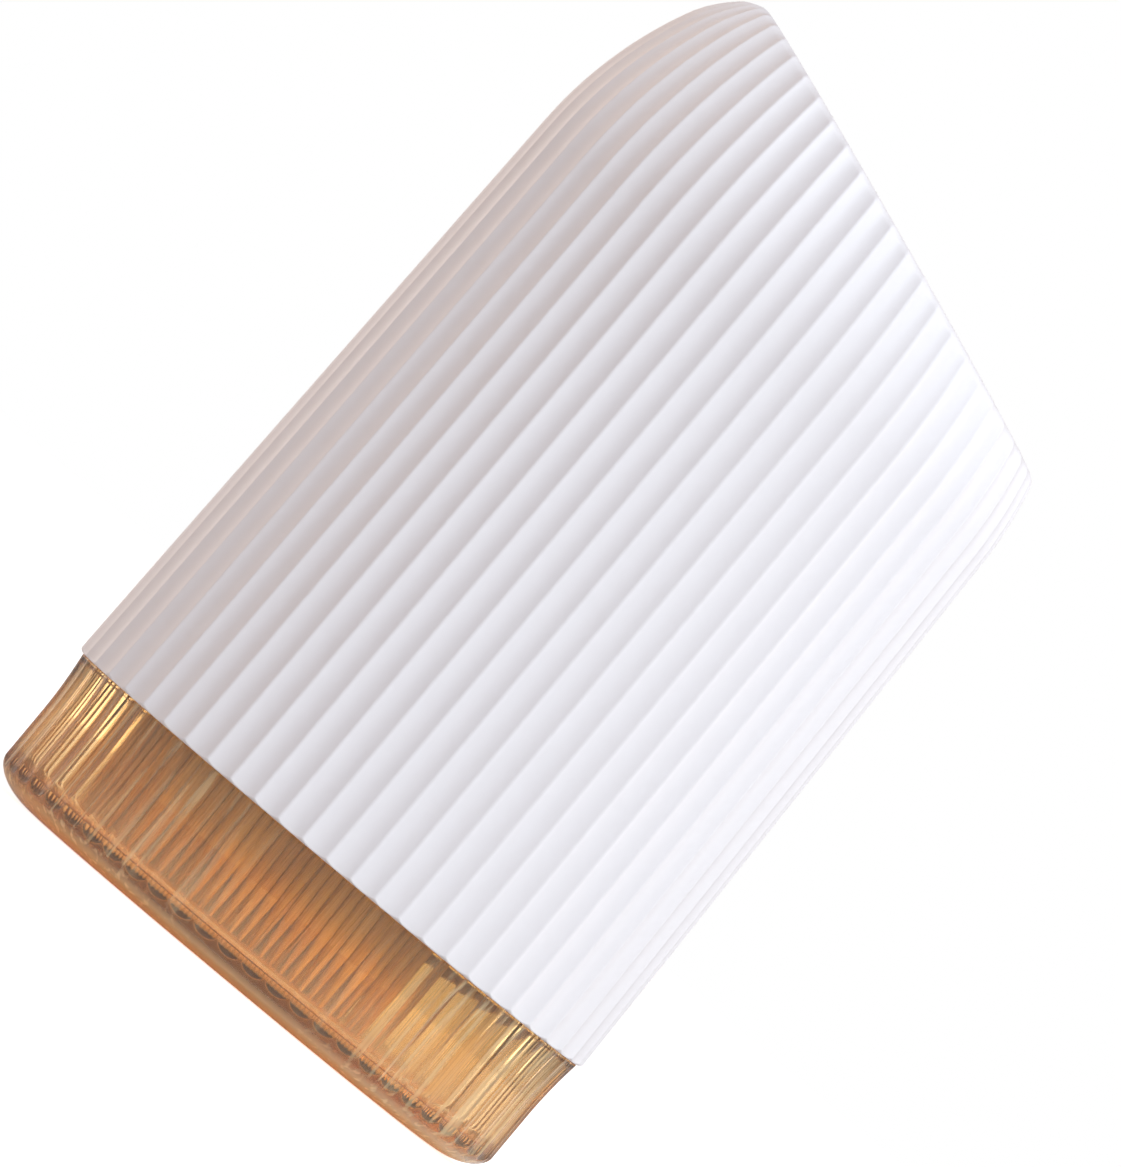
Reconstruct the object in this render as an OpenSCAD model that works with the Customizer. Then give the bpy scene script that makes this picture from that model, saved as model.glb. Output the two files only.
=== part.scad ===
// Toothpick holder: a tall fluted cover lifts straight off a clear fluted cup of toothpicks.
// Millimetres, +Z up. The origin is the middle of the cup's underside, where it stands.
// The cover slopes along X: it is high at the -X end and low at the +X end.

/* [Plan] */
// Width over the flutes at the cover's lower edge
body_w = 64.2; // [56:0.2:76]
// Depth over the flutes at the cover's lower edge
body_d = 43; // [38:0.5:52]
// Squareness of the oval, where 2 is a true ellipse
oval_power = 2.1; // [2:0.05:2.4]
// Number of flutes round the oval
flute_count = 56; // [40:4:72]
// Depth of each flute between its two arrises
flute_depth = 0.4; // [0.2:0.05:0.6]

/* [Cover] */
// Height of the sloping roof on the middle axis
roof_h = 98.9; // [92:0.1:112]
// Slope of the roof in degrees
roof_slope = 20.4; // [12:0.1:24]
// Roof thickness
roof_t = 1.8; // [1.2:0.1:3]
// Wall behind the flutes
cover_wall = 1.6; // [1.2:0.1:2.2]
// Inward lean of the two ends in degrees
end_draft = 1.4; // [0.5:0.1:2]
// Inward lean of the front and back in degrees
face_draft = 0.2; // [0:0.1:0.6]
// Height on the middle axis where the wall begins to curve in
shoulder_h = 81.4; // [76:0.1:88]
// Slope of the line round the cover where it does, in degrees
shoulder_slope = 5.8; // [2:0.1:12]
// Radius of that curve at the front and back
front_r = 52; // [44:1:64]
// Radius of that curve at the two ends
end_r = 41; // [36:0.5:52]
// Rounded edge round the roof
rim_round = 1.2; // [0.6:0.1:2]
// The same at the high end, where it is fuller
peak_round = 3.7; // [2:0.1:5]
// Softened lower edge
lip_round = 0.6; // [0.3:0.05:0.9]

/* [Cup] */
// Height of the band that shows below the cover
seam_h = 15.2; // [11:0.2:22]
// How far the cover overhangs the band
overhang = 0.55; // [0.3:0.05:0.9]
// How far the band draws in below its upper edge
flare_w = 0.5; // [0.2:0.05:0.8]
// Height over which it draws in
flare_h = 7; // [4:0.2:8]
// Width of the rounding under the band
foot_round_w = 5.5; // [3:0.1:7]
// Height of that rounding
foot_round_h = 3; // [2:0.1:4]
// Floor thickness
floor_t = 3; // [2:0.1:4]
// Height of the neck above the seam
neck_h = 33; // [24:0.5:40]
// Wall at the mouth of the neck
neck_wall = 1.2; // [0.9:0.1:1.8]
// Running gap between the neck and the cover
neck_gap = 0.3; // [0.2:0.05:0.6]
// Rounding inside, where the wall meets the floor
cavity_round = 1.5; // [0.8:0.1:2.5]

/* [Toothpicks] */
// Length of a toothpick
pick_len = 65; // [60:0.5:70]
// Thickness of a toothpick
pick_d = 2.1; // [1.8:0.05:2.4]
// Length of each pointed end
tip_len = 6; // [4:0.5:9]
// Width of the blunt point
tip_d = 0.5; // [0.3:0.05:0.8]
// Gap between a toothpick and what it rests on
rest_gap = 0.25; // [0.15:0.05:0.4]
// Gap between two toothpicks
pick_gap = 0.05; // [0.03:0.01:0.1]

/* [Hidden] */

// How finely the shapes are cut: points on a flute, curve steps, and sides of a toothpick
flute_points = 6;
foot_points = 2;
dome_steps = 5;
rim_steps = 4;
flare_steps = 3;
pick_sides = 32;
arc_samples = 720;
meeting_passes = 24;

// The straight part of a column of the wall ends at this share of its height at the latest
knee_share = 0.92;
// The two steps of the rounding between wall and floor, from the floor up
floor_curve_shares = [0, 0.45, 1];
// Angles up the foot's rounding, the last one where the flutes' ends begin
foot_angles = [0, 22, 42, 58];

half_w = body_w / 2;
half_d = body_d / 2;
roof_rise = tan(roof_slope);
shoulder_rise = tan(shoulder_slope);
roof_drop = roof_t / cos(roof_slope);
columns = flute_count * flute_points;
foot_columns = flute_count * foot_points;

// Half width and half depth of the cover's outside at height z, before it curves in
function cover_half_w(z) = half_w - (z - seam_h) * tan(end_draft);
function cover_half_d(z) = half_d - (z - seam_h) * tan(face_draft);

// Inside of the cover, outside of the neck and inside of the cup, each from the one before
cover_inset = flute_depth + cover_wall;
neck_inset = cover_inset + neck_gap;
neck_top = seam_h + neck_h;
cavity_half_w = cover_half_w(neck_top) - neck_inset - neck_wall;
cavity_half_d = cover_half_d(neck_top) - neck_inset - neck_wall;

// The oval, its outward normal and its half width on a line parallel to X
function signed_power(v, power) = sign(v) * pow(abs(v), power);
function oval(w, d, angle) =
    [w * signed_power(cos(angle), 2 / oval_power), d * signed_power(sin(angle), 2 / oval_power)];
function oval_normal(w, d, p) =
    let (slope = [signed_power(p.x / w, oval_power - 1) / w, signed_power(p.y / d, oval_power - 1) / d])
    slope / norm(slope);
function oval_chord(w, d, y) = abs(y) >= d ? 0 : w * pow(1 - pow(abs(y) / d, oval_power), 1 / oval_power);

// The flutes are evenly spaced along the oval. A table turns a share of its length into an angle,
// once for the widest section and once for one half as wide, and others lie between the two.
wide_w = half_w;
narrow_w = half_w / 2;
function length_table(w, d) =
    let (
        points = [for (i = [0:arc_samples]) oval(w, d, i * 360 / arc_samples)],
        length = [for (
            i = 0, s = 0;
            i <= arc_samples;
            s = s + (i < arc_samples ? norm(points[i + 1] - points[i]) : 0), i = i + 1) s]
    )
    [for (i = [0:arc_samples]) [length[i] / length[arc_samples], i * 360 / arc_samples]];
wide_table = length_table(wide_w, half_d);
narrow_table = length_table(narrow_w, half_d);
wide_angles = [for (c = [0:columns - 1]) lookup(c / columns, wide_table)];
narrow_angles = [for (c = [0:columns - 1]) lookup(c / columns, narrow_table)];
function column_angle(c, w) =
    let (mix = (wide_w - w) / (wide_w - narrow_w))
    wide_angles[c] * (1 - mix) + narrow_angles[c] * mix;

// Depth of the flute at a column: full in its middle, nothing on the arris
function flute_at(c) =
    let (across = c / flute_points - round(c / flute_points))
    flute_depth * (1 - 4 * across * across);

// A point of a column on an oval of the given size, moved in along the normal
function column_point(c, w, d, inset) =
    let (p = oval(w, d, column_angle(c, w)))
    p - inset * oval_normal(w, d, p);

// Shoulder: above a sloping line the cover's wall curves in along its normal, by an arc that is
// tighter at the two ends than at the front and back
function shoulder_start(x) = shoulder_h - shoulder_rise * x;
function curve_in(h, r) = h <= 0 ? 0 : r - sqrt(max(0, r * r - h * h));
function cover_point(c, z, shrink, inset) =
    let (
        w = cover_half_w(z) - shrink,
        d = cover_half_d(z) - shrink,
        p = oval(w, d, column_angle(c, w)),
        n = oval_normal(w, d, p),
        h = z - shoulder_start(p.x),
        end_share = n.x * n.x
    )
    p - n * (inset + curve_in(h, front_r) * (1 - end_share) + curve_in(h, end_r) * end_share);

// Height at which a column of the cover's wall meets the roof plane lowered by drop
function roof_meeting(c, shrink, inset, drop, z = roof_h, passes = meeting_passes) =
    passes == 0 ? z
    : roof_meeting(c, shrink, inset, drop,
        roof_h - drop - roof_rise * cover_point(c, z, shrink, inset).x, passes - 1);
// Height at which the straight part of a column ends
function knee(c, top) =
    let (p = column_point(c, cover_half_w(shoulder_h), cover_half_d(shoulder_h), 0))
    min(shoulder_start(p.x), seam_h + knee_share * (top - seam_h));

// A ring of the cover at heights given column by column
function cover_ring(picked, heights, shrink, insets) =
    [for (i = [0:len(picked) - 1])
        let (p = cover_point(picked[i], heights[i], shrink, insets[i]))
        [p.x, p.y, heights[i]]];
// A ring of the cover's wall, at a share of the way from the knee to the given tops
function shoulder_ring(picked, tops, share, shrink, insets) =
    cover_ring(picked,
        [for (i = [0:len(picked) - 1]) let (k = knee(picked[i], tops[i])) k + (tops[i] - k) * share],
        shrink, insets);
// A ring of the cup at one height, drawn in by shrink all round
function flat_ring(picked, w, d, z) =
    [for (c = picked) let (p = column_point(c, w, d, 0)) [p.x, p.y, z]];

function faces_between(a, n, b, m) =
    n == 1 ? [for (i = [0:m - 1]) [a, b + i, b + (i + 1) % m]]
    : m == 1 ? [for (i = [0:n - 1]) [a + i, b, a + (i + 1) % n]]
    : n >= m ?
        let (k = n / m, half = floor(k / 2))
        [for (i = [0:m - 1]) each concat(
            [for (j = [0:1:half - 1]) [a + i * k + j, b + i, a + (i * k + j + 1) % n]],
            [[a + (i * k + half) % n, b + i, b + (i + 1) % m]],
            [for (j = [half:1:k - 1]) [a + i * k + j, b + (i + 1) % m, a + (i * k + j + 1) % n]])]
    :
        let (k = m / n, half = floor(k / 2))
        [for (i = [0:n - 1]) each concat(
            [for (j = [0:1:half - 1]) [a + i, b + i * k + j, b + (i * k + j + 1) % m]],
            [[a + i, b + (i * k + half) % m, a + (i + 1) % n]],
            [for (j = [half:1:k - 1]) [a + (i + 1) % n, b + i * k + j, b + (i * k + j + 1) % m]])];

// A closed skin over a chain of rings that starts and ends in a single point. The rings run
// anticlockwise from above, up the outside and down the inside, or the other way about.
module skin(rings) {
    starts = [for (i = 0, s = 0; i < len(rings); s = s + len(rings[i]), i = i + 1) s];
    polyhedron(
        points = [for (ring = rings) each ring],
        faces = [for (i = [0:len(rings) - 2])
            each faces_between(starts[i], len(rings[i]), starts[i + 1], len(rings[i + 1]))]);
}

fluted = [for (c = [0:columns - 1]) c];
footed = [for (c = [0:foot_columns - 1]) c * flute_points / foot_points];
plain = [for (c = [0:flute_count - 1]) c * flute_points];

// Clear cup: a fluted band on a rounded foot, a ledge for the cover, and a plain neck inside it
function band_inset(z) =
    let (down = min(1, (seam_h - z) / flare_h))
    overhang + flare_w * (1 - (1 - down) * (1 - down));
function foot_inset(angle) = foot_round_w * (1 - sin(angle));
function foot_z(angle) = foot_round_h * (1 - cos(angle));
// Angle up the rounding at which a flute of this depth runs out
function run_out(depth) = asin(1 - depth / foot_round_w);
function band_ring(picked, heights, insets) =
    [for (i = [0:len(picked) - 1])
        let (
            z = heights[i],
            in = band_inset(z),
            p = column_point(picked[i], half_w - in, half_d - in, insets[i])
        )
        [p.x, p.y, z]];
function neck_ring(z, inset) =
    flat_ring(plain, cover_half_w(z) - neck_inset - inset, cover_half_d(z) - neck_inset - inset, z);
function cavity_ring(z, inset) = flat_ring(plain, cavity_half_w - inset, cavity_half_d - inset, z);

module cup() {
    depths = [for (c = fluted) flute_at(c)];
    last_angle = foot_angles[len(foot_angles) - 1];
    ends = [for (d = depths) run_out(d)];
    halfway = [for (e = ends) (e + last_angle) / 2];
    color("#b9782f")
    skin(concat(
        [[[0, 0, 0]]],
        [for (angle = foot_angles)
            band_ring(footed, [for (c = footed) foot_z(angle)], [for (c = footed) foot_inset(angle)])],
        [band_ring(fluted, [for (e = halfway) foot_z(e)], [for (e = halfway) foot_inset(e)])],
        [band_ring(fluted, [for (e = ends) foot_z(e)], depths)],
        [for (i = [flare_steps:-1:0])
            band_ring(fluted, [for (c = fluted) seam_h - flare_h * i / flare_steps], depths)],
        [neck_ring(seam_h, 0)],
        [neck_ring(neck_top - neck_wall / 3, 0)],
        [neck_ring(neck_top, neck_wall / 3)],
        [cavity_ring(neck_top, 0)],
        [for (share = [floor_curve_shares[2], floor_curve_shares[1], floor_curve_shares[0]])
            cavity_ring(
                floor_t + cavity_round * (1 - sqrt(1 - share * share)),
                cavity_round * (1 - share))],
        [[[0, 0, floor_t]]]));
}

// White cover: a fluted shell that curves in towards a roof cut on the slope, its edge rounded over
function rim_at(c) =
    let (high_share = pow(max(0, -oval_normal(half_w, half_d, column_point(c, half_w, half_d, 0)).x), 2))
    rim_round * (1 - high_share) + peak_round * high_share;
function rim_insets(angle) = [for (c = fluted) flute_at(c) + rim_at(c) * (1 - cos(angle))];
function rim_heights(angle) =
    let (insets = rim_insets(angle))
    [for (c = fluted) roof_meeting(c, 0, insets[c], rim_at(c) * (1 - sin(angle)))];

module cover() {
    depths = [for (c = fluted) flute_at(c)];
    wall_tops = rim_heights(0);
    ceilings = [for (c = plain) roof_meeting(c, cover_inset, 0, roof_drop)];
    no_inset = [for (c = plain) 0];
    color("#f3f1ee")
    skin(concat(
        [[[0, 0, roof_h - roof_drop]]],
        [for (i = [dome_steps - 1:-1:0]) shoulder_ring(plain, ceilings, i / (dome_steps - 1), cover_inset, no_inset)],
        [cover_ring(plain, [for (c = plain) seam_h], cover_inset, no_inset)],
        [cover_ring(fluted, [for (c = fluted) seam_h], 0, [for (d = depths) max(d, lip_round)])],
        [cover_ring(fluted, [for (c = fluted) seam_h + lip_round], 0, depths)],
        [for (i = [0:dome_steps]) shoulder_ring(fluted, wall_tops, i / dome_steps, 0, depths)],
        [for (i = [1:rim_steps])
            let (angle = 90 * i / rim_steps)
            cover_ring(fluted, rim_heights(angle), 0, rim_insets(angle))],
        [[[0, 0, roof_h]]]));
}

// Round wooden toothpick, pointed at both ends, standing on its lower point
module toothpick() {
    r = pick_d / 2;
    tip_r = tip_d / 2;
    rotate_extrude($fn = pick_sides)
        polygon([[0, 0], [tip_r, 0], [r, tip_len], [r, pick_len - tip_len], [tip_r, pick_len], [0, pick_len]]);
}

// The toothpicks stand in rows from front to back. Each row leans its own way towards -X, the
// first toothpick against the neck and the rest against it, under the inside of the cover.
row_lean_shares = [0.85, 0.3, 0.65, 0.95, 0.45, 0.75, 0.2, 0.9, 0.55, 0.8, 0.35, 0.7, 1];
row_fill_shares = [0.36, 0.47, 0.3, 0.43, 0.5, 0.38, 0.52, 0.4, 0.48, 0.33, 0.45, 0.39, 0.42];
most_lean = 4;
pick_floor = floor_t + rest_gap;
pick_top = pick_floor + pick_len;
row_pitch = pick_d + pick_gap;
rows_each_way = floor((cavity_half_d - cavity_round - pick_d / 2 - rest_gap) / row_pitch);

module toothpicks() {
    r = pick_d / 2;
    color("#e0bd85")
    for (row = [-rows_each_way:rows_each_way]) {
        y = row * row_pitch;
        turn = (row + rows_each_way) % len(row_lean_shares);
        neck_room = oval_chord(cavity_half_w, cavity_half_d, abs(y) + r);
        cover_room = oval_chord(cover_half_w(pick_top) - cover_inset, cover_half_d(pick_top) - cover_inset, abs(y) + r);
        lean = row_lean_shares[turn] * min(most_lean, atan((cover_room - neck_room) / (pick_top - neck_top)));
        step = pick_d / cos(lean) + pick_gap;
        foot_room = oval_chord(cavity_half_w - cavity_round, cavity_half_d - cavity_round, abs(y) + tip_d / 2);
        first = rest_gap + max(
            (neck_top - pick_floor) * tan(lean) + r / cos(lean) - neck_room,
            tip_d / 2 - foot_room);
        count = floor((cavity_half_w * row_fill_shares[turn] - first) / step);
        for (i = [0:1:count])
            translate([first + i * step, y, pick_floor])
                rotate([0, -lean, 0])
                    toothpick();
    }
}

cup();
cover();
toothpicks();
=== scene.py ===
import math

import bpy
import numpy as np
from mathutils import Matrix, Vector


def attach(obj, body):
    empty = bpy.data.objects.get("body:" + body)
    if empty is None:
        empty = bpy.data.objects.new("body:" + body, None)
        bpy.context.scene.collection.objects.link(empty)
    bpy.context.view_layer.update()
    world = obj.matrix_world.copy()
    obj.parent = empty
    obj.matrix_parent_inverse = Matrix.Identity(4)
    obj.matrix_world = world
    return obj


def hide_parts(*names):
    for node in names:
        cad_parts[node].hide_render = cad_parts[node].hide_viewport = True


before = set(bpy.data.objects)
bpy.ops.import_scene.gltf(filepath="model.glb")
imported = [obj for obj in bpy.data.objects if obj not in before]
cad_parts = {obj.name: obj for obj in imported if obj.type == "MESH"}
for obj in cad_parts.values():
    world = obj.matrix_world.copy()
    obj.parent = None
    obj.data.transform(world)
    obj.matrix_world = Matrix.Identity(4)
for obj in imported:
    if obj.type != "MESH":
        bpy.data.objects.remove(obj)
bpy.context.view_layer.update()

# Cup
# The lower half of the holder: a clear amber cup that stands on the table and holds the toothpicks.
# Injection-moulded general purpose polystyrene, polished. The band below the cover is fluted, and its
# flutes end in U shapes on a rounded foot. A plain neck inside the cover guides it on and off.
# Sizes are in millimetres up to the mesh, which is in metres.
mm = 0.001
body_w, body_d, oval_power = 64.2, 43.0, 2.1
flute_count, flute_depth = 56, 0.4
seam_h = 15.2
end_draft, face_draft = math.radians(1.4), math.radians(0.2)
overhang, flare_w, flare_h = 0.55, 0.5, 7.0
foot_round_w, foot_round_h = 5.5, 3.0
floor_t, neck_h, neck_wall, neck_gap, cover_wall = 3.0, 33.0, 1.2, 0.3, 1.6
cavity_round, band_edge, neck_round = 1.5, 0.2, 0.35
half_w, half_d = body_w / 2, body_d / 2

# Where the points of one flute lie between its two arrises, closer together beside the arrises
to_arris = np.array([0.14, 0.27, 0.36, 0.42, 0.45, 0.475])
flute_shares = np.concatenate([[-0.5], -to_arris[::-1], [0.0], to_arris])
turns = (np.arange(flute_count)[:, None] + flute_shares[None, :]).ravel() / flute_count


def flutes(arris):
    """Depth of each point below the arrises. Each side, arris is the share of a flute it is rounded over."""
    across = np.abs(flute_shares)
    rounded = np.maximum(0, arris**2 - (0.5 - across) ** 2) / arris
    depth = 1 - 4 * np.minimum(across, 0.5 - arris) ** 2 - 4 * (0.5 - arris) * rounded
    return np.tile(flute_depth * depth, flute_count)


def cover_half_w(z):
    """Half width of the cover's outside at a height, below the shoulder."""
    return half_w - (z - seam_h) * math.tan(end_draft)


def cover_half_d(z):
    """Half depth of the cover's outside at a height."""
    return half_d - (z - seam_h) * math.tan(face_draft)


def oval(w, d, angle):
    """Points on a slightly squared oval of half width w and half depth d."""
    c, s = np.cos(angle), np.sin(angle)
    power = 2 / oval_power
    return w * np.sign(c) * np.abs(c) ** power, d * np.sign(s) * np.abs(s) ** power


def even_angles(w, d, samples=1440):
    """The angle of each column when the columns lie evenly along the oval."""
    angle = np.linspace(0, 2 * math.pi, samples + 1)
    x, y = oval(w, d, angle)
    length = np.concatenate([[0], np.cumsum(np.hypot(np.diff(x), np.diff(y)))])
    return np.interp(turns % 1, length / length[-1], angle) + 2 * math.pi * np.floor(turns)


# Each ring's angles lie between those of the full oval and those of one half as wide.
wide_angles, narrow_angles = even_angles(half_w, half_d), even_angles(half_w / 2, half_d)


def plan(w, d):
    """The points of one ring on an oval, and the outward normal at each."""
    w, d = (np.broadcast_to(v, turns.shape) for v in (w, d))
    mix = (half_w - w) / (half_w / 2)
    x, y = oval(w, d, wide_angles * (1 - mix) + narrow_angles * mix)
    slope_x = np.sign(x) * np.abs(x / w) ** (oval_power - 1) / w
    slope_y = np.sign(y) * np.abs(y / d) ** (oval_power - 1) / d
    slope = np.hypot(slope_x, slope_y)
    return x, y, slope_x / slope, slope_y / slope


def ring(w, d, z, inset=0.0):
    """One ring of points at a height, drawn in from the oval along its normal."""
    x, y, out_x, out_y = plan(w, d)
    return np.stack([x - inset * out_x, y - inset * out_y, np.broadcast_to(z, x.shape)], 1)


def skin(name, rings, material, body):
    """A closed smooth mesh over rings, from a single point to a single point, which rides on a body."""
    columns = len(turns)
    points = np.concatenate([np.reshape(r, (-1, 3)) for r in rings]) * mm
    starts = np.cumsum([0] + [np.size(r) // 3 for r in rings])
    faces = []
    for k in range(len(rings) - 1):
        a, b = starts[k], starts[k + 1]
        for i in range(columns):
            j = (i + 1) % columns
            if k == 0:
                faces.append((a, b + j, b + i))
            elif k == len(rings) - 2:
                faces.append((a + i, a + j, b))
            else:
                faces.append((a + i, a + j, b + j, b + i))
    mesh = bpy.data.meshes.new(name)
    mesh.from_pydata(points.tolist(), [], faces)
    mesh.shade_smooth()
    mesh.materials.append(material)
    piece = bpy.data.objects.new(name, mesh)
    bpy.context.scene.collection.objects.link(piece)
    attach(piece, body)
    return piece


def linear(code):
    """An sRGB hex colour as the linear colour that a shader takes."""
    parts = [int(code[i:i + 2], 16) / 255 for i in (1, 3, 5)]
    return [c / 12.92 if c <= 0.04045 else ((c + 0.055) / 1.055) ** 2.4 for c in parts] + [1.0]


def add(material, kind, settings=(), **links):
    """Adds a node. Settings go on its properties or its sockets by name, and links feed its sockets."""
    tree = material.node_tree
    node = tree.nodes.new("ShaderNode" + kind)
    for key, value in dict(settings).items():
        if isinstance(key, str) and hasattr(node, key):
            setattr(node, key, value)
        else:
            node.inputs[key].default_value = value
    for key, source in links.items():
        key = int(key[1:]) if key[0] == "i" and key[1:].isdigit() else key.replace("_", " ")
        tree.links.new(source, node.inputs[key])
    return node


def set_ramp(node, stops):
    """Gives a colour ramp its stops, each a place from 0 to 1 and a linear colour."""
    elements = node.color_ramp.elements
    for element, (place, colour) in zip((elements[0], elements[1]), (stops[0], stops[-1])):
        element.position, element.color = place, colour
    for place, colour in stops[1:-1]:
        elements.new(place).color = colour


def new_material(name):
    """A material with no nodes yet."""
    material = bpy.data.materials.new(name)
    material.use_nodes = True
    material.node_tree.nodes.clear()
    return material


def arc(steps):
    """Even angles over a quarter turn."""
    return [math.radians(90.0 * i / steps) for i in range(steps + 1)]


def band_ring(z, inset):
    """A ring of the band, which flares out below the cover and then drops straight to the foot."""
    down = np.minimum(1, (seam_h - z) / flare_h)
    drawn_in = overhang + flare_w * (1 - (1 - down) ** 2)
    return ring(half_w - drawn_in, half_d - drawn_in, z, inset)


neck_inset = flute_depth + cover_wall + neck_gap
neck_top = seam_h + neck_h
cavity_w = float(cover_half_w(neck_top)) - neck_inset - neck_wall
cavity_d = float(cover_half_d(neck_top)) - neck_inset - neck_wall


def neck_ring(z, inset):
    """A ring of the neck's outside, which keeps its running gap from the cover at every height."""
    return ring(cover_half_w(z) - neck_inset - inset, cover_half_d(z) - neck_inset - inset, z)


# To the eye this is clear amber: darker where more of it lies in the way, milky and soft in the foot,
# and with painted reflections: faint pale streaks down the band, more of them towards the two ends.
amber = new_material("clear amber polystyrene, polished moulding")
spot = add(amber, "TexCoord")
height = add(amber, "SeparateXYZ", Vector=spot.outputs["Object"])

# How clear it is, by height in mm: milky at the table, clearer through the foot, clear in the wall
ramp_h = 10.0
up_wall = add(amber, "MapRange", {"From Max": ramp_h * mm}, Value=height.outputs["Z"])
clear = add(amber, "ValToRGB", Fac=up_wall.outputs[0])
set_ramp(clear, [(z / ramp_h, (share, share, share, 1)) for z, share in
                 ((0.9, 0.35), (1.8, 0.88), (2.7, 0.93), (3.6, 0.84), (6.0, 0.88), (9.0, 0.97))])

# Painted reflections: pale streaks 0.9 mm wide, where the amber is less clear, stand in for light refracted
# and reflected at the arrises.
line_w, line_h = 0.9, 60.0
streak_scale = add(amber, "Mapping", {"Scale": (1 / (line_w * mm), 1 / (line_w * mm), 1 / (line_h * mm))},
           Vector=spot.outputs["Object"])
lines = add(amber, "TexNoise", {"Scale": 1.0, "Detail": 1.5}, Vector=streak_scale.outputs[0])
pale = add(amber, "MapRange", {"From Min": 0.54, "From Max": 0.68, "To Min": 0.04, "To Max": 0.45},
           Value=lines.outputs["Fac"])
# The painted reflections are stronger towards the two ends and lie only in the band below the cover.
sideways = add(amber, "Math", {"operation": "ABSOLUTE"}, i0=height.outputs["X"])
at_ends = add(amber, "MapRange", {"From Min": 4.0 * mm, "From Max": 17.0 * mm},
              Value=sideways.outputs[0])
in_band = add(amber, "MapRange", {"From Min": (seam_h + 1) * mm, "From Max": seam_h * mm},
              Value=height.outputs["Z"])
there = add(amber, "Math", {"operation": "MULTIPLY"}, i0=at_ends.outputs[0], i1=in_band.outputs[0])
painted_streaks = add(amber, "Math", {"operation": "MULTIPLY"}, i0=pale.outputs[0], i1=there.outputs[0])
clearness = add(amber, "Math", {"operation": "SUBTRACT", "use_clamp": True}, i0=clear.outputs[0],
                i1=painted_streaks.outputs[0])
tint = add(amber, "Mix", {"data_type": "RGBA", 6: linear("#FFDEA8"), 7: linear("#F6DBA9")},
           i0=clear.outputs[0])
glass = add(amber, "BsdfPrincipled", {"Roughness": 0.07, "IOR": 1.57}, Base_Color=tint.outputs[2],
            Transmission_Weight=clearness.outputs[0])

# Lamp light passes the wall tinted, so that the toothpicks inside are lit.
lamp_rays = add(amber, "LightPath")
through = add(amber, "BsdfTransparent", {"Color": linear("#E6B559")})
either = add(amber, "MixShader", i0=lamp_rays.outputs["Is Shadow Ray"], i1=glass.outputs[0],
             i2=through.outputs[0])
depth = add(amber, "VolumeAbsorption", {"Color": linear("#E9C98C"), "Density": 85.0})
add(amber, "OutputMaterial", Surface=either.outputs[0], Volume=depth.outputs[0])

# Outside, from the middle of the underside: the rounded foot, where each column stops rising at the
# depth of its flute and so makes the U-shaped ends, then the band up to its softened edge, then the
# ledge and the neck. Rings lie close together beside an edge, so that smooth shading keeps it crisp.
depths = flutes(0.025)
run_out = np.arcsin(1 - depths / foot_round_w)
cup_rings = [np.array([0.0, 0.0, 0.0])]
for share in np.linspace(0, 1, 17):
    angle = run_out * share
    cup_rings.append(band_ring(foot_round_h * (1 - np.cos(angle)), foot_round_w * (1 - np.sin(angle))))
flute_end = foot_round_h * (1 - np.cos(run_out))
for share in (0.008, 0.03, *np.linspace(0.08, 0.97, 14), 0.99, 1):
    cup_rings.append(band_ring(flute_end + (seam_h - band_edge - flute_end) * share, depths))
for angle in arc(3)[1:]:
    cup_rings.append(band_ring(np.full_like(turns, seam_h - band_edge * (1 - math.sin(angle))),
                               depths + band_edge * (1 - math.cos(angle))))
cup_rings.append(neck_ring(seam_h, 0))
for z in (seam_h + 0.1, *np.linspace(seam_h + 1, neck_top - neck_round - 0.1, 6), neck_top - neck_round):
    cup_rings.append(neck_ring(z, 0))
for angle in arc(4)[1:]:
    z = neck_top - neck_round * (1 - math.sin(angle))
    cup_rings.append(neck_ring(z, neck_round * (1 - math.cos(angle))))
# Inside, down from the neck's mouth to the rounded floor
for angle in reversed(arc(4)):
    w = neck_round * (1 - math.cos(angle))
    cup_rings.append(ring(cavity_w + w, cavity_d + w, neck_top - neck_round * (1 - math.sin(angle))))
for z in np.linspace(neck_top - neck_round, floor_t + cavity_round, 8)[1:]:
    cup_rings.append(ring(cavity_w, cavity_d, z))
for angle in arc(6)[1:]:
    w = cavity_round * (1 - math.cos(angle))
    cup_rings.append(ring(cavity_w - w, cavity_d - w, floor_t + cavity_round * (1 - math.sin(angle))))
cup_rings.append(np.array([0.0, 0.0, floor_t]))
cup = skin("cup_clear_moulding", cup_rings, amber, "filled_cup")
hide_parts("cup")

# Toothpicks
# Round toothpicks, 65 mm long, standing in the cup. Turned from pale birch, sharpened at both ends and
# left bare, so each shows the grain along it and its own tone. They stand loose on the cup's floor.
# To the eye this is dry pale wood: a matt cream with fine brownish streaks along each toothpick.
birch = new_material("pale birch, turned, unfinished")
place = add(birch, "TexCoord")
streak_w, streak_l = 0.35, 9.0
along = add(birch, "Mapping", {"Scale": (1 / (streak_w * mm), 1 / (streak_w * mm), 1 / (streak_l * mm))},
            Vector=place.outputs["Object"])
grain = add(birch, "TexNoise", {"Scale": 1.0, "Detail": 4.0, "Roughness": 0.6}, Vector=along.outputs[0])
each = add(birch, "NewGeometry")
tone = add(birch, "ValToRGB", Fac=each.outputs["Random Per Island"])
set_ramp(tone, [(0.0, linear("#E6C493")), (1.0, linear("#F8E4BE"))])
shade = add(birch, "ValToRGB", Fac=grain.outputs["Fac"])
set_ramp(shade, [(0.3, linear("#E4CFAE")), (0.62, linear("#FFFFFF"))])
streaked = add(birch, "Mix", {"data_type": "RGBA", "blend_type": "MULTIPLY", "Factor": 1.0},
               i6=tone.outputs[0], i7=shade.outputs[0])
fibre = add(birch, "Bump", {"Strength": 0.3, "Distance": 0.02 * mm}, Height=grain.outputs["Fac"])
wood = add(birch, "BsdfPrincipled", {"Roughness": 0.62, "IOR": 1.5}, Base_Color=streaked.outputs[2],
           Normal=fibre.outputs[0])
add(birch, "OutputMaterial", Surface=wood.outputs[0])
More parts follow.
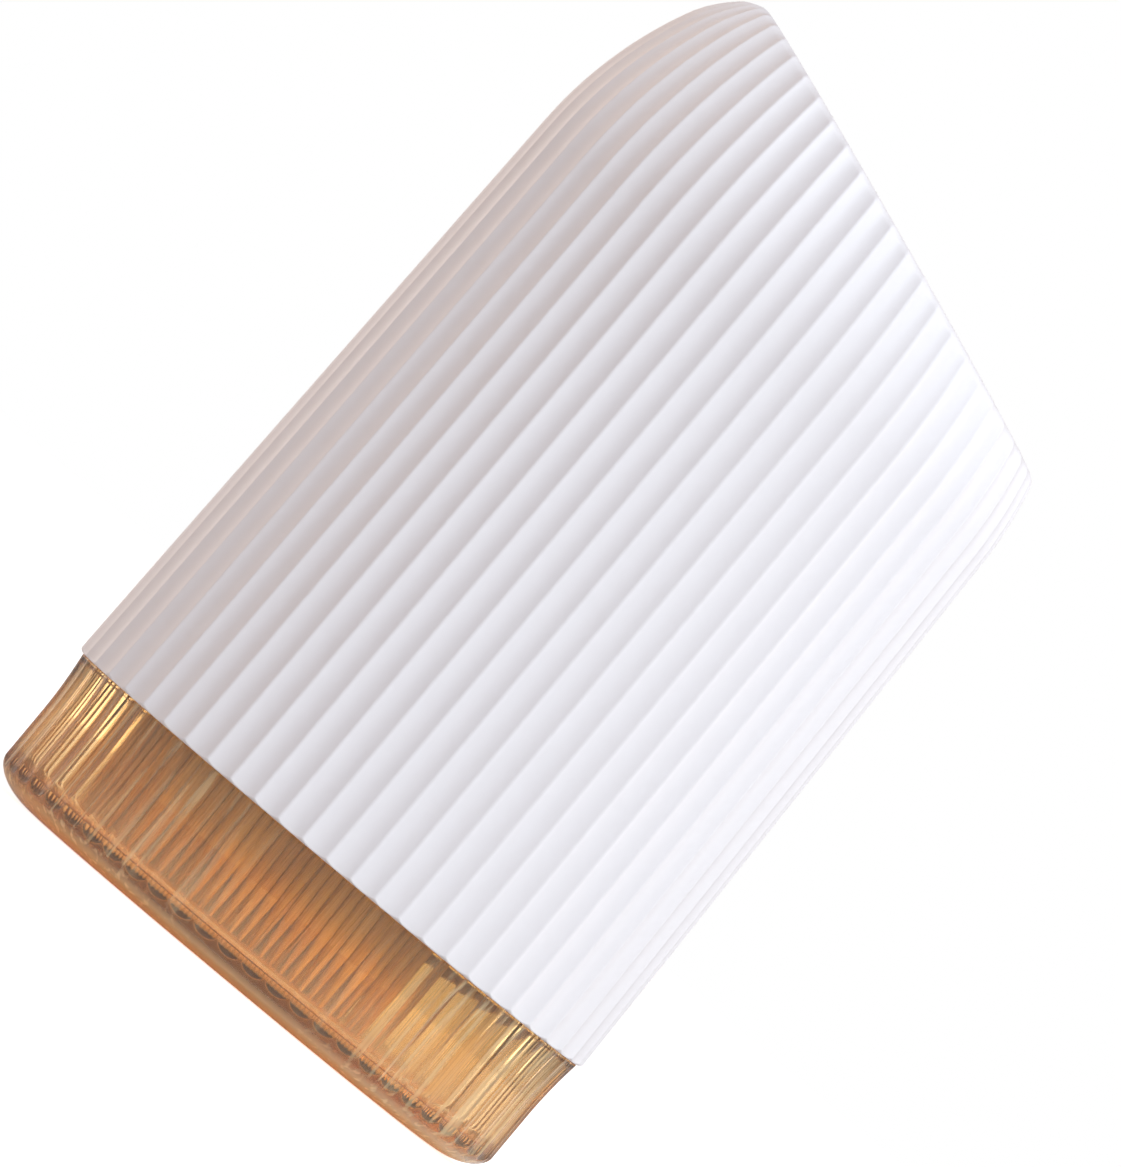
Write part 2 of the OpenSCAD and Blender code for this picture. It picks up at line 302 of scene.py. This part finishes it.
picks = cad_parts["toothpicks"]
picks.data.materials.clear()
picks.data.materials.append(birch)

# Cover
# The upper part of the holder, lifted off to take a toothpick. Injection-moulded white ABS with a fine
# satin finish, fluted all round. Its wall curves in towards a flat roof that slopes down to one side.
roof_h, roof_t, roof_slope = 98.7, 1.8, math.radians(20.4)
shoulder_h, shoulder_slope, front_r, end_r = 81.4, math.radians(5.8), 52.0, 41.0
cover_inset, lip_round, ceiling_round = flute_depth + cover_wall, 0.6, 1.0
rim_round, peak_round = 0.7, 1.9
peak_lean, peak_lean_h = 0.06, 101.5  # above this height the wall leans in more under the peak
roof_drop = roof_t / math.cos(roof_slope)


def shoulder_start(x):
    """Height at which the wall starts to curve in. The line slopes down towards the low end."""
    return shoulder_h - math.tan(shoulder_slope) * x


def wall_ring(z, shrink, inset=0.0):
    """A ring of the wall, drawn in by shrink and inset, and by its curve over the shoulder."""
    x, y, out_x, out_y = plan(cover_half_w(z) - shrink, cover_half_d(z) - shrink)
    rise = np.maximum(0, z - shoulder_start(x))
    front, end = (r - np.sqrt(np.maximum(0, r**2 - rise**2)) for r in (front_r, end_r))
    peak = peak_lean * np.maximum(0, z - peak_lean_h) ** 2 * np.maximum(0, -out_x) ** 4
    inset = inset + front * (1 - out_x**2) + end * out_x**2 + peak
    return np.stack([x - inset * out_x, y - inset * out_y, np.broadcast_to(z, x.shape)], 1)


def roof_meeting(shrink, inset, drop):
    """Height at which each column of the wall meets the roof, or a plane that lies lower by drop."""
    z = np.full_like(turns, roof_h)
    for _ in range(24):
        z = roof_h - drop - math.tan(roof_slope) * wall_ring(z, shrink, inset)[:, 0]
    return z


def knee(top):
    """Height at which the straight part of each column ends."""
    start = shoulder_start(plan(cover_half_w(shoulder_h), cover_half_d(shoulder_h))[0])
    return np.minimum(start, seam_h + 0.92 * (top - seam_h))


# To the eye this is a soft white, nearly matt, with a faint eggshell unevenness and no hard glints.
abs_white = new_material("white ABS, satin moulding")
spot = add(abs_white, "TexCoord")
mottle = add(abs_white, "TexNoise", {"Scale": 1 / (0.3 * mm), "Detail": 2.0}, Vector=spot.outputs["Object"])
eggshell = add(abs_white, "Bump", {"Strength": 0.08, "Distance": 0.02 * mm}, Height=mottle.outputs["Fac"])
plastic = add(abs_white, "BsdfPrincipled", {"Base Color": linear("#F2F1F3"), "Roughness": 0.5, "IOR": 1.5},
              Normal=eggshell.outputs[0])
add(abs_white, "OutputMaterial", Surface=plastic.outputs[0])

# Inside, from the middle of the ceiling down to the lip
cover_rings = [np.array([0.0, 0.0, roof_h - roof_drop])]
for angle in reversed(arc(4)):
    shrink = cover_inset + ceiling_round * (1 - math.cos(angle))
    z = roof_meeting(shrink, 0, roof_drop + ceiling_round * (1 - math.sin(angle)))
    cover_rings.append(wall_ring(z, shrink))
top = cover_rings[-1][:, 2]
for share in np.linspace(1, 0, 13)[1:]:
    cover_rings.append(wall_ring(knee(top) + (top - knee(top)) * share, cover_inset))
for share in (0.8, 0.6, 0.4, 0.2, 0.01, 0.003, 0):
    cover_rings.append(wall_ring(seam_h + (knee(top) - seam_h) * share, cover_inset))
# Outside, from the rounded lip up the flutes and over the shoulder to the roof's softened rim, which
# is rounded more at the high end
depths = flutes(0.07)
lip_end = np.arcsin(1 - depths / lip_round)
for share in np.linspace(0, 1, 6):
    angle = lip_end * share
    z = seam_h + lip_round * (1 - np.cos(angle))
    cover_rings.append(wall_ring(z, 0, lip_round * (1 - np.sin(angle))))
start = cover_rings[-1][:, 2]
high_share = np.maximum(0, -plan(half_w, half_d)[2]) ** 4
rim = rim_round * (1 - high_share) + peak_round * high_share
top = roof_meeting(0, depths, rim)
for share in (0.0015, 0.006, *np.linspace(0.1, 1, 9)):
    cover_rings.append(wall_ring(start + (knee(top) - start) * share, 0, depths))
for share in (*np.linspace(0, 0.96, 24)[1:], 0.99, 0.997, 1):
    cover_rings.append(wall_ring(knee(top) + (top - knee(top)) * share, 0, depths))
for angle in arc(9)[1:]:
    inset = depths + rim * (1 - math.cos(angle))
    cover_rings.append(wall_ring(roof_meeting(0, inset, rim * (1 - math.sin(angle))), 0, inset))
edge, middle = cover_rings[-1], np.array([0.0, 0.0, roof_h])
for share in (0.004, 0.012, 0.2, 0.5, 0.8):
    cover_rings.append(edge + (middle - edge) * share)
cover_rings.append(middle)
cover = skin("cover_white_moulding", cover_rings, abs_white, "lifting_cover")
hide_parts("cover")

# Floor and background
# A plain matt white table top in a white studio. Both are white to the camera and through the clear
# cup, apart from the holder's faint shadow, while their light on the cover stays low and soft.
white_table = new_material("matt white table top")
matt = add(white_table, "BsdfDiffuse", {"Color": linear("#D8D8D8")})

# How much the table is lifted to white: to the camera, through the cup (less for light on its way to
# a matt surface inside) and in reflections
to_camera, through_cup, through_cup_lit, mirrored = 0.85, 0.7, 0.8, 0.15
rays = add(white_table, "LightPath")
camera_lift = add(white_table, "Math", {"operation": "MULTIPLY", 1: to_camera},
                  i0=rays.outputs["Is Camera Ray"])
direct = add(white_table, "Math", {"operation": "LESS_THAN", 1: 0.5}, i0=rays.outputs["Diffuse Depth"])
share = add(white_table, "Math", {"operation": "MULTIPLY_ADD", 1: 1 - through_cup_lit, 2: through_cup_lit},
            i0=direct.outputs[0])
cup_view = add(white_table, "Math", {"operation": "MULTIPLY"}, i0=rays.outputs["Is Transmission Ray"],
               i1=share.outputs[0])
cup_lift = add(white_table, "Math", {"operation": "MULTIPLY_ADD", 1: through_cup}, i0=cup_view.outputs[0],
               i2=camera_lift.outputs[0])
all_lift = add(white_table, "Math", {"operation": "MULTIPLY_ADD", 1: mirrored},
               i0=rays.outputs["Is Glossy Ray"], i2=cup_lift.outputs[0])
lift = add(white_table, "Emission", {"Color": linear("#FFFFFF")}, Strength=all_lift.outputs[0])
both = add(white_table, "AddShader", i0=matt.outputs[0], i1=lift.outputs[0])
add(white_table, "OutputMaterial", Surface=both.outputs[0])
reach = 1.5
corners = [(-reach, -reach, 0), (reach, -reach, 0), (reach, reach, 0), (-reach, reach, 0)]
sheet = bpy.data.meshes.new("table")
sheet.from_pydata(corners, [], [(0, 1, 2, 3)])
sheet.materials.append(white_table)
table = bpy.data.objects.new("table", sheet)
table.location.z = -0.05 * mm  # just under the cup, so that the two faces don't coincide
bpy.context.scene.collection.objects.link(table)

# The room: white to the camera and through the cup, and a dim warm white as light on the holder
room_light, room_seen, lit_through_cup = 0.25, 1.0, 0.5
world = bpy.data.worlds.new("white room")
bpy.context.scene.world = world
world.use_nodes = True
world.node_tree.nodes.clear()
rays = add(world, "LightPath")
direct = add(world, "Math", {"operation": "LESS_THAN", 1: 0.5}, i0=rays.outputs["Diffuse Depth"])
share = add(world, "Math", {"operation": "MULTIPLY_ADD", 1: 1 - lit_through_cup, 2: lit_through_cup},
            i0=direct.outputs[0])
cup_view = add(world, "Math", {"operation": "MULTIPLY"}, i0=rays.outputs["Is Transmission Ray"],
               i1=share.outputs[0])
seen = add(world, "Math", {"operation": "ADD", "use_clamp": True}, i0=rays.outputs["Is Camera Ray"],
           i1=cup_view.outputs[0])
walls = add(world, "Mix", {"data_type": "RGBA", 6: linear("#FFD8CF"), 7: linear("#FFFFFF")},
            i0=seen.outputs[0])
strength = add(world, "MapRange", {"To Min": room_light, "To Max": room_seen}, Value=seen.outputs[0])
sky = add(world, "Background", Color=walls.outputs[2], Strength=strength.outputs[0])
add(world, "OutputWorld", Surface=sky.outputs[0])


def lamp(name, place, width, height, power, colour):
    """A soft box: a rectangular area light that faces the holder's middle."""
    light = bpy.data.lights.new(name, "AREA")
    light.shape, light.size, light.size_y = "RECTANGLE", width, height
    light.energy, light.color = power, linear(colour)[:3]
    holder = bpy.data.objects.new(name, light)
    holder.location = place
    facing = Vector((0, 0, 0.05)) - Vector(place)
    holder.rotation_euler = facing.to_track_quat("-Z", "Y").to_euler()
    bpy.context.scene.collection.objects.link(holder)


# The key stands high in front on the right. The fills are low: a small one at the right end and a
# wide, slightly warm one behind on the left.
lamp("key_right", (0.426, -0.682, 0.80), 0.5, 0.5, 10.4, "#ECF7FF")
lamp("fill_right", (0.765, 0.16, 0.25), 0.4, 0.4, 1.35, "#FFFCFA")
lamp("fill_left", (-0.675, 0.39, 0.25), 1.0, 0.5, 3.35, "#FFF0E4")

# Camera
# Two metres away with a long lens, as for a catalogue picture, a little to the left and nearly level.
# The holder's upright axis is 50 degrees above the picture's horizontal, so the camera is rolled.
eye, target, roll = Vector((-0.1151, -1.997, 0.0655)), Vector((0.0, 0.0, 0.0504)), math.radians(39.9)
sensor_w, view_w = 36.0, 0.1099  # the sensor's width in mm, and the picture's at the holder in m
camera_data = bpy.data.cameras.new("camera")
camera_data.sensor_fit, camera_data.sensor_width = "HORIZONTAL", sensor_w
camera_data.lens = sensor_w * (target - eye).length / view_w
camera_data.clip_start, camera_data.clip_end = 0.1, 20.0
camera = bpy.data.objects.new("camera", camera_data)
turned = (target - eye).to_track_quat("-Z", "Y").to_matrix().to_4x4() @ Matrix.Rotation(roll, 4, "Z")
camera.matrix_world = Matrix.Translation(eye) @ turned
bpy.context.scene.collection.objects.link(camera)
bpy.context.scene.camera = camera
bpy.context.scene.view_settings.view_transform = "Standard"
